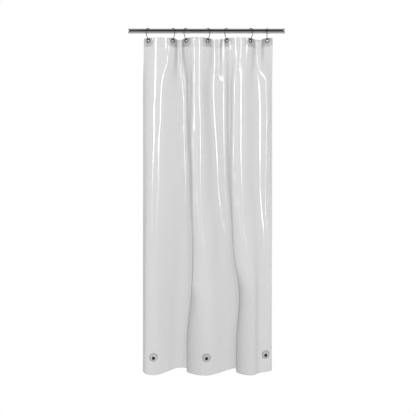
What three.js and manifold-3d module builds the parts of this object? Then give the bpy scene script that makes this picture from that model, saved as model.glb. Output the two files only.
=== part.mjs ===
// A clear plastic shower curtain liner hanging in folds from seven wire hooks on a straight rod.
// Millimetres. +X runs along the rod, +Z is up, and -Y is the side that faces the room.
// The origin is the centre of the rod's left end face.

import * as THREE from 'three';
import { mergeVertices } from 'three/addons/utils/BufferGeometryUtils.js';
import Module from 'manifold-3d';

const wasm = await Module();
wasm.setup();

// ---- Driving dimensions ----------------------------------------------------------------------

const GAP = 0.3;                    // between two pieces that touch on the real thing

const ROD = { length: 850, radius: 12.5, wall: 1.2, capFace: 3, spigot: 12 };

const LINER = { width: 914, drop: 1829, top: -38, thickness: 1.2 };

const HEADING = { height: 47, thickness: 1.0 };

const EYELET = {
  hole: 6, barrel: 7, flange: 11.5, lip: 1.0, innerRound: 0.8, outerRound: 1.2, rim: 0.3, throat: 0.4,
  below: 13, margin: 31,
};
const EYELET_X = [109, 242, 314, 432, 535, 664, 755];       // along the rod, hung
const EYELET_TURN = [-32, 44, -44, 44, -44, 44, -26];       // degrees that the cloth turns there

const HOOK = { wire: 1.8, loop: 22, bend: 7.4, overRod: 0.45, back: 95, tip: 4 };
const HOOK_TURN = [-36, 36, -36, 36, -36, 36, -10];          // degrees

const MAGNET = { radius: 9, thickness: 2.4, fromHem: 96, low: 5 };
const POCKET = { radius: 24, thickness: 1.0, weld: 5, slope: 4, insideFoot: 0.6, insideTop: 0.4 };
const MAGNET_AT = [81, 457, 875];   // along the flat width, from the left edge

// Five plan lines say how the cloth stands at five heights. Each names the same seventeen lines down
// the cloth, left edge to right edge, as [along the rod, behind the rod]. A second number below zero
// is a bulge towards the room. The first plan line is worked out from the eyelets.
const PLAN_LINES = [
  {
    z: -590,
    points: [[79, 14], [104, -22], [150, -33], [220, -4], [290, 38], [322, 38], [345, -14], [377, -35],
      [436, 0], [498, 38], [538, 24], [566, -18], [598, -33], [656, -4], [722, 32], [760, 20], [782, 2]],
  },
  {
    z: -1190,
    points: [[79, 8], [100, -22], [150, -32], [208, -4], [284, 38], [347, 33], [350, -4], [384, -31],
      [438, -24], [508, 22], [568, 32], [573, -4], [612, -32], [668, -27], [712, 0], [748, 10], [781, 4]],
  },
  {
    z: -1430,
    points: [[79, 4], [100, -24], [150, -31], [205, -2], [272, 38], [340, 34], [343, -2], [378, -28],
      [438, -30], [540, 22], [600, 32], [603, -2], [634, -29], [680, -30], [714, -4], [746, 4], [781, 8]],
  },
  {
    z: -1735,
    points: [[79, 2], [101, -26], [150, -32], [205, -2], [262, 38], [316, 36], [319, 0], [350, -22],
      [434, -36], [545, 20], [584, 34], [588, -2], [618, -26], [676, -35], [712, -10], [742, -4], [781, 14]],
  },
];

// Where those seventeen lines leave the heading, along the flat width
const LINES_AT_HEADING = [0, 31, 102, 173, 244, 301, 329, 386, 457, 528, 585, 613, 670, 741, 812, 883, 914];

const ROW_STEP = 104;               // mm down the cloth between rows of facets
const HEM_ZONE = 136;               // the cloth hangs straight over this height above the hem
const SETTLE = 160;                 // below the heading, the pleats ease into the folds over this
const FIRST_ROW = 4;                // the first row of free cloth is this far below the band

// ---- Small helpers ---------------------------------------------------------------------------

const radians = THREE.MathUtils.degToRad;
const lerp = THREE.MathUtils.lerp;

function finish(color, roughness, metalness, opacity = 1) {
  return new THREE.MeshStandardMaterial({
    color, roughness, metalness, opacity, transparent: opacity < 1,
  });
}

const FINISHES = {
  film: () => finish(0xd5d7d7, 0.18, 0, 0.5),
  chrome: () => finish(0xc4c6c8, 0.12, 1),
  eyelet: () => finish(0xb4b6b8, 0.25, 1),
  cap: () => finish(0x8f9193, 0.5, 0),
  magnet: () => finish(0x1b1b1c, 0.5, 0),
};

function piece(name, geometry, material) {
  const mesh = new THREE.Mesh(geometry, material);
  mesh.name = name;
  return mesh;
}

function solidOf(geometry) {
  const bare = geometry.clone();
  bare.deleteAttribute('normal');
  bare.deleteAttribute('uv');
  const merged = mergeVertices(bare);
  return new wasm.Manifold(new wasm.Mesh({
    numProp: 3,
    vertProperties: merged.attributes.position.array,
    triVerts: merged.index.array,
  }));
}

function geometryOf(solid) {
  const mesh = solid.getMesh();
  const geometry = new THREE.BufferGeometry();
  geometry.setAttribute('position', new THREE.BufferAttribute(new Float32Array(mesh.vertProperties), 3));
  geometry.setIndex([...mesh.triVerts]);
  geometry.computeVertexNormals();
  return geometry;
}

// Finds the value between low and high at which a rising measure reaches its target
function solve(measure, target, low, high) {
  let bottom = low;
  let top = high;
  for (let turn = 0; turn < 40; turn += 1) {
    const middle = (bottom + top) / 2;
    if (measure(middle) < target) bottom = middle;
    else top = middle;
  }
  return (bottom + top) / 2;
}

// ---- The heading's plan: each bay takes up the cloth that its two eyelets leave over ----------

const BAY = (LINER.width - 2 * EYELET.margin) / (EYELET_X.length - 1);
const FLAT = 14;                    // the cloth is flat this far either side of an eyelet's centre

// How round a bay's bulge is: shares of its depth and of its width, and the widest shoulder
const BULGE = { reach: 0.42, shoulder: 0.3, widest: 22 };

const eyelets = EYELET_X.map((x, i) => ({
  x,
  turn: radians(EYELET_TURN[i]),
  at: EYELET.margin + i * BAY,
}));

function besideEyelet(eyelet, along) {
  return new THREE.Vector2(
    eyelet.x + along * Math.cos(eyelet.turn),
    along * Math.sin(eyelet.turn),
  );
}

// The curve from one eyelet's flat to the next, out to a crest of the given depth and back
function bayCurve(left, right, depth) {
  const start = besideEyelet(left, FLAT);
  const end = besideEyelet(right, -FLAT);
  const crest = new THREE.Vector2((start.x + end.x) / 2, depth);
  const reach = Math.abs(depth) * BULGE.reach;
  const shoulder = Math.min((end.x - start.x) * BULGE.shoulder, BULGE.widest);
  const leave = besideEyelet(left, FLAT + reach);
  const arrive = besideEyelet(right, -FLAT - reach);
  const bay = new THREE.CurvePath();
  bay.add(new THREE.CubicBezierCurve(start, leave, new THREE.Vector2(crest.x - shoulder, depth), crest));
  bay.add(new THREE.CubicBezierCurve(crest, new THREE.Vector2(crest.x + shoulder, depth), arrive, end));
  return bay;
}

const bays = eyelets.slice(1).map((right, i) => {
  const left = eyelets[i];
  const side = Math.sign(left.turn);
  const length = (depth) => bayCurve(left, right, side * depth).getLength();
  return bayCurve(left, right, side * solve(length, BAY - 2 * FLAT, 4, 80));
});

// A point of the heading's plan, at a distance along the flat width
function headingAt(along) {
  const step = THREE.MathUtils.clamp(Math.floor((along - EYELET.margin) / BAY), 0, bays.length - 1);
  const into = along - eyelets[step].at;
  if (into <= FLAT) return besideEyelet(eyelets[step], into);
  if (into >= BAY - FLAT) return besideEyelet(eyelets[step + 1], into - BAY);
  return bays[step].getPointAt((into - FLAT) / (BAY - 2 * FLAT));
}

// ---- The folds below the heading ---------------------------------------------------------------

const planLines = [
  { z: LINER.top - HEADING.height, points: LINES_AT_HEADING.map((along) => headingAt(along).toArray()) },
  ...PLAN_LINES,
];

// Where fold line i stands at a height, easing from one plan line to the next
function foldPoint(i, z) {
  const last = planLines.length - 1;
  if (z <= planLines[last].z) return planLines[last].points[i];
  const k = Math.max(0, planLines.findIndex((line) => line.z <= z) - 1);
  const upper = planLines[k];
  const lower = planLines[k + 1];
  const t = (upper.z - z) / (upper.z - lower.z);
  const slope = (n, axis) => {
    if (n <= 0 || n >= last) return 0;
    const [above, below] = [planLines[n - 1], planLines[n + 1]];
    return (below.points[i][axis] - above.points[i][axis]) / (above.z - below.z);
  };
  return [0, 1].map((axis) => {
    const span = upper.z - lower.z;
    const [a, b] = [upper.points[i][axis], lower.points[i][axis]];
    const [ma, mb] = [slope(k, axis) * span, slope(k + 1, axis) * span];
    return (2 * t ** 3 - 3 * t ** 2 + 1) * a + (t ** 3 - 2 * t ** 2 + t) * ma
      + (-2 * t ** 3 + 3 * t ** 2) * b + (t ** 3 - t ** 2) * mb;
  });
}

// The plan curve at a height, with its folds as deep as the flat width asks for
function planAt(z) {
  const points = LINES_AT_HEADING.map((_, i) => foldPoint(i, z));
  const curve = (deep) => new THREE.CatmullRomCurve3(
    points.map(([x, y]) => new THREE.Vector3(x, y * deep, 0)), false, 'centripetal',
  );
  const deep = solve((factor) => curve(factor).getLength(), LINER.width, 0.3, 2);
  return curve(deep);
}

function smooth(t) {
  const c = THREE.MathUtils.clamp(t, 0, 1);
  return c * c * (3 - 2 * c);
}

// ---- Rows and columns of the cloth -------------------------------------------------------------

// Places along the flat width: two at each flat stretch, and even steps between
function columns(flats, counts) {
  const edges = [0, ...flats.flatMap(([centre, half]) => [centre - half, centre + half]), LINER.width];
  const places = [0];
  for (let i = 1; i < edges.length; i += 1) {
    const count = i % 2 === 0 ? 1 : counts[(i - 1) / 2];
    for (let n = 1; n <= count; n += 1) places.push(lerp(edges[i - 1], edges[i], n / count));
  }
  return places;
}

const headingColumns = columns(eyelets.map(({ at }) => [at, FLAT]), [1, 9, 9, 9, 9, 9, 9, 1]);
const hemColumns = columns(MAGNET_AT.map((at) => [at, POCKET.radius + 2]), [3, 27, 28, 2]);

const headingFoot = LINER.top - HEADING.height;
const hemTop = LINER.top - LINER.drop + HEM_ZONE;
const hem = LINER.top - LINER.drop;

function rowAt(z) {
  const down = smooth((headingFoot - z) / (headingFoot - hemTop));
  const places = headingColumns.map((place, i) => lerp(place, hemColumns[i], down));
  const settled = smooth((headingFoot - z) / SETTLE);
  const plan = settled > 0 ? planAt(Math.max(z, hemTop)) : null;
  return places.map((place) => {
    const pleat = headingAt(place);
    if (!plan) return pleat;
    const fold = plan.getPointAt(THREE.MathUtils.clamp(place / LINER.width, 0, 1));
    return pleat.lerp(new THREE.Vector2(fold.x, fold.y), settled);
  });
}

function rowHeights() {
  const count = Math.round((headingFoot - hemTop) / ROW_STEP);
  const free = Array.from({ length: count + 1 }, (_, n) => lerp(headingFoot - FIRST_ROW, hemTop, n / count));
  return [LINER.top, ...free, hem];
}

// How far each point moves for a sheet that lies 1 mm behind the row, with true corners
function backwards(row) {
  const across = row.slice(1).map((p, i) => new THREE.Vector2(row[i].y - p.y, p.x - row[i].x).normalize());
  return row.map((_, i) => {
    const a = across[Math.max(i - 1, 0)];
    const b = across[Math.min(i, across.length - 1)];
    const middle = a.clone().add(b).normalize();
    return middle.divideScalar(middle.dot(a));
  });
}

// A closed sheet between two distances behind the rows
function sheet(heights, front, back) {
  const rows = heights.map((z) => rowAt(z));
  const wide = rows[0].length;
  const layer = rows.length * wide;
  const positions = [front, back].flatMap((distance) => rows.flatMap((row, r) => {
    const out = backwards(row);
    return row.flatMap((p, i) => [p.x + out[i].x * distance, p.y + out[i].y * distance, heights[r]]);
  }));
  const index = [];
  const quad = (a, b, c, d) => index.push(a, b, c, a, c, d);
  for (let r = 0; r + 1 < rows.length; r += 1) {
    for (let i = 0; i + 1 < wide; i += 1) {
      const a = r * wide + i;
      quad(a + wide, a + wide + 1, a + 1, a);
      quad(layer + a + 1, layer + a + wide + 1, layer + a + wide, layer + a);
    }
    const left = r * wide;
    const right = left + wide - 1;
    quad(left, layer + left, layer + left + wide, left + wide);
    quad(right + wide, layer + right + wide, layer + right, right);
  }
  const foot = layer - wide;
  for (let i = 0; i + 1 < wide; i += 1) {
    quad(i, i + 1, layer + i + 1, layer + i);
    quad(layer + foot + i, layer + foot + i + 1, foot + i + 1, foot + i);
  }
  const geometry = new THREE.BufferGeometry();
  geometry.setAttribute('position', new THREE.Float32BufferAttribute(positions, 3));
  geometry.setIndex(index);
  return geometry;
}

// ---- Cloth pieces ------------------------------------------------------------------------------

const eyeletZ = LINER.top - EYELET.below;
const panelBack = LINER.thickness / 2;
const bandFront = panelBack + GAP;
const bandBack = bandFront + HEADING.thickness;
const PUNCH_LENGTH = 12;            // long enough to go through both layers

// The punched holes that the eyelets' barrels go through
function punched(geometry) {
  const punch = new THREE.CylinderGeometry(EYELET.barrel + GAP, EYELET.barrel + GAP, PUNCH_LENGTH, 20);
  const holes = eyelets.map(({ x, turn }) => {
    const hole = punch.clone().rotateZ(turn);
    return solidOf(hole.translate(x, 0, eyeletZ));
  });
  return geometryOf(holes.reduce((cloth, hole) => cloth.subtract(hole), solidOf(geometry)));
}

const liner = new THREE.Group();
liner.add(piece('liner_panel', punched(sheet(rowHeights(), -panelBack, panelBack)), FINISHES.film()));
liner.add(piece(
  'heading_band',
  punched(sheet([LINER.top, headingFoot], bandFront, bandBack)),
  FINISHES.film(),
));

// ---- Eyelets -----------------------------------------------------------------------------------

// A crimped ring round its own axis, local Y, with a rounded lip each side of the cloth
function eyeletGeometry() {
  const front = -panelBack - GAP;
  const back = bandBack + GAP;
  const { hole, barrel, flange, lip, innerRound, outerRound, rim, throat } = EYELET;
  const profile = [
    [hole, front + throat], [hole + innerRound, front - lip], [flange - outerRound, front - lip],
    [flange, front - rim], [flange, front], [barrel, front], [barrel, back], [flange, back],
    [flange, back + rim], [flange - outerRound, back + lip], [hole + innerRound, back + lip],
    [hole, back - throat], [hole, front + throat],
  ];
  return new THREE.LatheGeometry(profile.map(([r, y]) => new THREE.Vector2(r, y)), 16);
}

// ---- Hooks -------------------------------------------------------------------------------------

// The wire's centre line in its own upright plane: from behind the rod over its top, round the front,
// straight down to the eyelet and round a small bend to a short upright tip behind the cloth.
class HookPath extends THREE.Curve {
  constructor() {
    super();
    const { wire, loop, bend, overRod, back, tip } = HOOK;
    this.top = ROD.radius + overRod + wire - loop;
    const lipCorner = bandBack + GAP + EYELET.lip;
    const rise = Math.sqrt((bend - wire - GAP) ** 2 - lipCorner ** 2);
    this.low = eyeletZ + EYELET.hole + rise;
    this.slant = Math.asin((loop - bend) / (this.top - this.low));
    this.stretches = [
      { steps: 16, at: (t) => this.round(this.top, loop, lerp(-radians(back), Math.PI / 2 + this.slant, t)) },
      { steps: 1, at: (t) => this.shank(t) },
      { steps: 12, at: (t) => this.round(this.low, bend, lerp(Math.PI / 2 + this.slant, 1.5 * Math.PI, t)) },
      { steps: 1, at: (t) => new THREE.Vector3(0, bend, this.low + t * tip) },
    ];
    this.steps = this.stretches.reduce((sum, { steps }) => sum + steps, 0);
  }

  // A point on a circle about the plane's upright line, by its angle from straight up to the front
  round(height, radius, angle) {
    return new THREE.Vector3(0, -radius * Math.sin(angle), height + radius * Math.cos(angle));
  }

  shank(t) {
    const angle = Math.PI / 2 + this.slant;
    return this.round(this.top, HOOK.loop, angle).lerp(this.round(this.low, HOOK.bend, angle), t);
  }

  getPoint(t) {
    let left = t * this.steps;
    for (const stretch of this.stretches) {
      if (left <= stretch.steps) return stretch.at(left / stretch.steps);
      left -= stretch.steps;
    }
    return this.stretches.at(-1).at(1);
  }

  getUtoTmapping(u) {
    return u;
  }
}

function hookGeometry() {
  const path = new HookPath();
  const section = new THREE.Shape(Array.from({ length: 8 }, (_, i) => {
    const angle = (i + 0.5) * Math.PI / 4;
    return new THREE.Vector2(HOOK.wire * Math.cos(angle), HOOK.wire * Math.sin(angle));
  }));
  return new THREE.ExtrudeGeometry(section, {
    steps: path.steps, extrudePath: path, bevelEnabled: false, curveSegments: 1,
  });
}

eyelets.forEach(({ x, turn }, i) => {
  const ring = piece(`eyelet_${i + 1}`, eyeletGeometry(), FINISHES.eyelet());
  ring.position.set(x, 0, eyeletZ);
  ring.rotation.z = turn;
  const hook = piece(`hook_${i + 1}`, hookGeometry(), FINISHES.chrome());
  hook.position.set(x, 0, 0);
  hook.rotation.z = radians(HOOK_TURN[i]);
  liner.add(ring, hook);
});

// ---- Magnets in their pockets near the hem -------------------------------------------------------

function magnetGeometry() {
  const disc = new THREE.CylinderGeometry(MAGNET.radius, MAGNET.radius, MAGNET.thickness, 20);
  return disc.translate(0, -MAGNET.thickness / 2, 0);
}

// A shallow clear cover: flat weld round the rim, raised over the magnet, open towards the cloth
function pocketGeometry() {
  const rise = MAGNET.thickness + GAP;
  const { radius, thickness, weld, slope, insideFoot, insideTop } = POCKET;
  const shoulder = radius - weld;
  const profile = [
    [0, -rise - thickness], [shoulder - slope, -rise - thickness], [shoulder, -thickness],
    [radius, -thickness], [radius, 0], [shoulder - insideFoot, 0], [shoulder - slope - insideTop, -rise],
    [0, -rise],
  ];
  return new THREE.LatheGeometry(profile.map(([r, y]) => new THREE.Vector2(r, y)), 24);
}

const hemRow = rowAt(hem);
const magnetZ = hem + MAGNET.fromHem;
MAGNET_AT.forEach((place, i) => {
  const column = hemColumns.findIndex((at) => at > place);
  const [left, right] = [hemRow[column - 1], hemRow[column]];
  const spot = new THREE.Group();
  spot.position.set((left.x + right.x) / 2, (left.y + right.y) / 2, magnetZ);
  spot.rotation.z = Math.atan2(right.y - left.y, right.x - left.x);
  const magnet = piece(`magnet_${i + 1}`, magnetGeometry(), FINISHES.magnet());
  magnet.position.set(0, -panelBack - GAP, -MAGNET.low);
  const pocket = piece(`magnet_pocket_${i + 1}`, pocketGeometry(), FINISHES.film());
  pocket.position.set(0, -panelBack - GAP, 0);
  spot.add(magnet, pocket);
  liner.add(spot);
});

// ---- Rod and its end caps ------------------------------------------------------------------------

function turned(profile, segments) {
  return new THREE.LatheGeometry(profile.map(([r, y]) => new THREE.Vector2(r, y)), segments);
}

const rodGroup = new THREE.Group();
rodGroup.rotation.z = -Math.PI / 2;         // the turned pieces' own axis, local Y, runs along +X

const tubeStart = ROD.capFace + GAP;
const tubeEnd = ROD.length - tubeStart;
const bore = ROD.radius - ROD.wall;
const tube = [
  [bore, tubeStart], [ROD.radius, tubeStart], [ROD.radius, tubeEnd], [bore, tubeEnd], [bore, tubeStart],
];
rodGroup.add(piece('rod', turned(tube, 32), FINISHES.chrome()));

const plug = bore - GAP;
const capDepth = ROD.capFace + ROD.spigot;
const cap = [
  [0, 0], [ROD.radius, 0], [ROD.radius, ROD.capFace], [plug, ROD.capFace], [plug, capDepth], [0, capDepth],
];
const capLeft = piece('rod_cap_left', turned(cap, 32), FINISHES.cap());
const capRight = piece('rod_cap_right', turned(cap, 32), FINISHES.cap());
capRight.position.y = ROD.length;
capRight.rotation.x = Math.PI;
rodGroup.add(capLeft, capRight);

const showerCurtain = new THREE.Group();
showerCurtain.add(liner, rodGroup);

export default showerCurtain;
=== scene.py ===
# %% [markdown]
# # A clear shower curtain liner on hooks and a chrome rod
# The real thing is one cut of clear plastic film, 914 mm wide and 1829 mm long. A second strip of film
# stiffens its top edge, seven metal eyelets are crimped through both layers, and seven bent wire hooks
# hang it from a straight chrome tube. Three magnets in round welded pockets weigh down its hem.
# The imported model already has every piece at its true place, so it is loaded first and never moved.

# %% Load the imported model
import math

import bpy
import numpy as np
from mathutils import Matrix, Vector


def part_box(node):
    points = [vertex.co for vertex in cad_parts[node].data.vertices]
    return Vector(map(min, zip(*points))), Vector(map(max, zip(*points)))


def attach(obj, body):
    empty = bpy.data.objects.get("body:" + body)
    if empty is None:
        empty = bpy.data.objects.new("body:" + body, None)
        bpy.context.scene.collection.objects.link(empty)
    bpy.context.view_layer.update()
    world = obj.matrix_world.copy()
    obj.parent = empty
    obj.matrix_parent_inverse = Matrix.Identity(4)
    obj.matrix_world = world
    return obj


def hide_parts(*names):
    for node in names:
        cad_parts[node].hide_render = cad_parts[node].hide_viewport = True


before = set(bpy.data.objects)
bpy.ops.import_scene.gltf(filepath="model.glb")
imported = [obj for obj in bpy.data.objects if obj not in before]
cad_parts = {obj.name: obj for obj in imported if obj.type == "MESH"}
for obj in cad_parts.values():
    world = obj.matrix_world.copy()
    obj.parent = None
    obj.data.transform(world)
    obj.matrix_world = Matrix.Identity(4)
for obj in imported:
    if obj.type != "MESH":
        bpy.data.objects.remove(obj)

scene = bpy.context.scene
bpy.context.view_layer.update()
MM = 0.001

# %% [markdown]
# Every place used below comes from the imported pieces: where each eyelet hangs, how high the cloth
# starts and ends, and how long the rod is. Reading them once keeps the new pieces on the old ones.

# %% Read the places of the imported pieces
COUNT = 7


def middle(node):
    low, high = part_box(node)
    return (np.array(low) + np.array(high)) / 2


EYELET_X = [float(middle(f"eyelet_{n}")[0]) for n in range(1, COUNT + 1)]
EYELET_Z = float(middle("eyelet_1")[2])
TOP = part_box("liner_panel")[1][2]
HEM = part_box("liner_panel")[0][2]
HEADING_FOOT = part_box("heading_band")[0][2]
ROD_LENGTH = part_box("rod_cap_right")[1][0]
ROD_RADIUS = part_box("rod")[1][2]
FLAT_WIDTH = 914 * MM
DROP = TOP - HEM
print(f"drop {DROP:.3f} m, heading {TOP - HEADING_FOOT:.3f} m, rod {ROD_LENGTH:.3f} m")

# %% [markdown]
# ## Camera
# The camera stands level with the middle of the liner and looks straight at it, as for a picture in a
# shop's catalogue. A longish lens from five metres keeps the liner's sides upright and parallel.

# %% Camera
CAMERA_AWAY = 5.0
VIEW_HEIGHT = 2.262  # how much of the hanging plane the picture is tall
CENTRE_X = ROD_LENGTH / 2 + 8 * MM
CENTRE_Z = -962 * MM

camera_data = bpy.data.cameras.new("camera")
camera_data.sensor_width = 36
camera_data.lens = 36 * CAMERA_AWAY / VIEW_HEIGHT
camera = bpy.data.objects.new("camera", camera_data)
camera.location = (CENTRE_X, -CAMERA_AWAY, CENTRE_Z)
camera.rotation_euler = (math.pi / 2, 0, 0)
scene.collection.objects.link(camera)
scene.camera = camera
print(f"lens {camera_data.lens:.1f} mm")

# %% [markdown]
# ## Materials
# A small function adds a node with its settings and links, and one turns the colour values that
# a designer would write down into the linear ones that the renderer works with.

# %% Helpers for materials


def linear(hex_colour):
    """An sRGB colour such as 'c4c6c8' as linear red, green, blue and alpha."""
    channels = [int(hex_colour[i:i + 2], 16) / 255 for i in (0, 2, 4)]
    turned = [c / 12.92 if c <= 0.04045 else ((c + 0.055) / 1.055) ** 2.4 for c in channels]
    return (*turned, 1.0)


def add(tree, kind, inputs=None, **settings):
    """A new node, with its settings, and its inputs set to values or linked to sockets."""
    made = tree.nodes.new("ShaderNode" + kind)
    for name, value in settings.items():
        setattr(made, name, value)
    for name, value in (inputs or {}).items():
        if isinstance(value, bpy.types.NodeSocket):
            tree.links.new(value, made.inputs[name])
        else:
            made.inputs[name].default_value = value
    return made


def new_material(name):
    """A material with no nodes yet, and its tree."""
    material = bpy.data.materials.new(name)
    material.use_nodes = True
    material.node_tree.nodes.clear()
    return material, material.node_tree


def finish_with(tree, shader):
    tree.links.new(shader, add(tree, "OutputMaterial").inputs["Surface"])


# %% [markdown]
# ### Clear PEVA film
# The liner is soft, glossy film, pressed between rollers. One layer lets part of the light through
# and looks pale grey against white, and two layers look darker. It is thin, so it is drawn as a
# see-through surface and not as solid glass: each face is partly open, and opener where it is seen
# head on than where it turns away. The rollers leave a slight orange peel, drawn as bump. Where the
# film is strained or welded it turns cloudy in spots, and beside a hard fold it is made to stop more
# light as painted shade. Each mesh says where, in its "cloud" value and its painted shade value.

# %% Film material
PEEL_SIZE = 9 * MM  # the film's slight orange peel, drawn coarse enough to show
WAVE_SIZE = 60 * MM  # slow waves where the film was folded in its pack
EDGE_ON = 0.57  # the share of light that a face stops when it is seen from its edge


def film_material(name, hex_colour, body, cloud, peel=0.2, roughness=0.08):
    """Clear glossy film. Body is the share of light that one face stops, seen head on."""
    material, tree = new_material(name)
    place = add(tree, "TexCoord").outputs["Object"]
    peel_noise = add(tree, "TexNoise", {"Vector": place, "Scale": 1 / PEEL_SIZE, "Detail": 2.0})
    wave_noise = add(tree, "TexNoise", {"Vector": place, "Scale": 1 / WAVE_SIZE, "Detail": 1.0})
    fine = add(tree, "Bump", {
        "Height": peel_noise.outputs["Fac"], "Distance": 0.1 * MM, "Strength": peel,
    })
    waves = add(tree, "Bump", {
        "Height": wave_noise.outputs["Fac"], "Distance": 0.5 * MM, "Strength": 0.5,
        "Normal": fine.outputs["Normal"],
    })
    turn = add(tree, "LayerWeight", {"Blend": 0.5}).outputs["Facing"]
    closed = add(tree, "MapRange", {
        "Value": turn, "From Min": 0.15, "From Max": 1.0, "To Min": body, "To Max": EDGE_ON,
    }, interpolation_type="SMOOTHSTEP")
    marked = add(tree, "Attribute", attribute_name="cloud").outputs["Fac"]
    mottled = add(tree, "MapRange", {
        "Value": peel_noise.outputs["Fac"], "From Min": 0.3, "From Max": 0.7,
        "To Min": 0.6 * cloud, "To Max": 1.2 * cloud,
    })
    added = add(tree, "Math", {0: marked, 1: mottled.outputs["Result"]}, operation="MULTIPLY")
    spotted = add(tree, "Math", {0: closed.outputs["Result"], 1: added.outputs[0]}, operation="ADD")
    # Painted shade: a value on the mesh makes the film stop more light beside the doubled folds.
    painted_shade = add(tree, "Attribute", attribute_name="painted_fold_shade").outputs["Fac"]
    alpha = add(tree, "Math", {0: spotted.outputs[0], 1: painted_shade}, operation="ADD", use_clamp=True)
    plastic = add(tree, "BsdfPrincipled", {
        "Base Color": linear(hex_colour),
        "Roughness": roughness,
        "IOR": 1.5,
        "Specular IOR Level": 0.8,
        "Alpha": alpha.outputs[0],
        "Normal": waves.outputs["Normal"],
    })
    finish_with(tree, plastic.outputs["BSDF"])
    return material


clear_film = film_material("clear peva film", "ababac", 0.4, 0.15)
heading_film = film_material("heading band peva film", "7e7e7f", 0.03, 0.55, peel=0.5, roughness=0.14)
pocket_film = film_material("welded pocket film", "808082", 0.03, 0.33, peel=0.6, roughness=0.14)

# %% [markdown]
# ### Chrome, nickel, moulded plastic and the dark magnets
# The rod is polished chrome on steel tube, drawn as a bright metal with hair-fine lines along it.
# The hooks are bent from polished wire, and the eyelets are plated brass, a little duller. Both are
# drawn in darker greys than bare plating has: painted shade, standing in for the dark room that they
# mirror. Handling leaves faint smears, so each metal's roughness is uneven. Metals keep the default IOR.

# %% Metal and plastic materials


def solid_material(name, hex_colour, metallic, noise, rough, relief, grain=(1, 1, 1)):
    """Metal or plastic that is uneven by a noise. Noise is its size and detail. Rough is two values
    of the noise and the roughness at each. Relief is the depth and the strength of its bump."""
    material, tree = new_material(name)
    place = add(tree, "TexCoord").outputs["Object"]
    stretched = add(tree, "Mapping", {"Vector": place, "Scale": grain}).outputs["Vector"]
    marks = add(tree, "TexNoise", {
        "Vector": stretched, "Scale": 1 / noise[0], "Detail": noise[1],
    }).outputs["Fac"]
    uneven = add(tree, "MapRange", {
        "Value": marks, "From Min": rough[0], "From Max": rough[1],
        "To Min": rough[2], "To Max": rough[3],
    })
    raised = add(tree, "Bump", {"Height": marks, "Distance": relief[0], "Strength": relief[1]})
    shader = add(tree, "BsdfPrincipled", {
        "Base Color": linear(hex_colour),
        "Metallic": metallic,
        "Roughness": uneven.outputs["Result"],
        "Normal": raised.outputs["Normal"],
    })
    finish_with(tree, shader.outputs["BSDF"])
    return material


def metal_material(name, hex_colour, shiny, dull, smear_size, grain=(1, 1, 1), bump=0.0):
    """Plated metal whose roughness wanders between two values over smears of a size."""
    return solid_material(
        name, hex_colour, 1.0, (smear_size, 4.0), (0.3, 0.7, shiny, dull), (0.05 * MM, bump), grain)


def plastic_material(name, hex_colour, shiny, dull, grain_size, bump):
    """Moulded or coated plastic with a fine even grain."""
    return solid_material(
        name, hex_colour, 0.0, (grain_size, 3.0), (0, 1, shiny, dull), (0.1 * MM, bump))


rod_chrome = metal_material("polished chrome tube", "d4d6d9", 0.05, 0.11, 25 * MM, (0.1, 1, 1), 0.05)
# Painted shade: the wire and the eyelets are darker greys than their plating, for the dark room that they
# mirror.
wire_chrome_painted_dark = metal_material("polished chrome wire", "47484a", 0.08, 0.16, 6 * MM, bump=0.1)
eyelet_nickel_painted_dark = metal_material("nickel plated eyelet", "606265", 0.14, 0.26, 3 * MM, bump=0.25)
cap_plastic = plastic_material("moulded grey end cap", "77797c", 0.37, 0.53, 1.5 * MM, 0.3)
magnet_coating = plastic_material("dark coated magnet", "09090a", 0.34, 0.5, 1.2 * MM, 0.35)

# %% [markdown]
# ## The shape of the hanging film
# Film keeps its width however it is pleated. So the plan of the cloth at any height is one curve that
# is always 914 mm long, and only its folds differ. At the top each bay between two eyelets holds the
# same 142 mm of film, pushed out into a bulge as deep as that length asks for. Lower down, seventeen
# lines run down the cloth, over crests, troughs and the two places where it doubles back on itself.
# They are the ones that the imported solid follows, and the film here is drawn much finer on them.

# %% Numbers that drive the folds
MARGIN = 31 * MM  # from a side edge to the first eyelet, along the film
FLAT = 14 * MM  # an eyelet keeps the film flat this far either side
EYELET_TURN = [math.radians(a) for a in (-32, 44, -44, 44, -44, 44, -26)]
HOOK_TURN = [math.radians(a) for a in (-36, 36, -36, 36, -36, 36, -10)]
BAY = (FLAT_WIDTH - 2 * MARGIN) / (COUNT - 1)
EYELET_AT = [MARGIN + n * BAY for n in range(COUNT)]
MAGNET_AT = [81 * MM, 457 * MM, 875 * MM]  # along the flat film, from its left edge
SETTLE = 230 * MM  # below the heading, the pleats ease into the folds over this

# Where the seventeen lines leave the heading, along the flat film
LINES_AT_HEADING = np.array(
    [0, 31, 102, 173, 244, 301, 329, 386, 457, 528, 585, 613, 670, 741, 812, 883, 914]) * MM
# How they stand at four heights below the rod: places along the rod and behind it, in mm
PLAN_LINES = {
    -590: [(79, 14), (104, -22), (150, -33), (220, -4), (290, 38), (322, 38), (345, -14), (377, -35),
           (436, 0), (498, 38), (538, 24), (566, -18), (598, -33), (656, -4), (722, 32), (760, 20),
           (782, 2)],
    -1190: [(79, 8), (100, -22), (150, -32), (208, -4), (284, 38), (347, 33), (350, -4), (384, -31),
            (438, -24), (508, 22), (568, 32), (573, -4), (612, -32), (668, -27), (712, 0), (748, 10),
            (781, 4)],
    -1430: [(79, 4), (100, -24), (150, -31), (205, -2), (272, 38), (340, 34), (343, -2), (378, -28),
            (438, -30), (540, 22), (600, 32), (603, -2), (634, -29), (680, -30), (714, -4), (746, 4),
            (781, 8)],
    -1735: [(79, 2), (101, -26), (150, -32), (205, -2), (262, 38), (316, 36), (319, 0), (350, -22),
            (434, -36), (545, 20), (584, 34), (588, -2), (618, -26), (676, -35), (712, -10), (742, -4),
            (781, 14)],
}

# %% Lines: how long they are, and curves through knots


def length_of(points):
    return float(np.linalg.norm(np.diff(points, axis=0), axis=1).sum())


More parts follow.
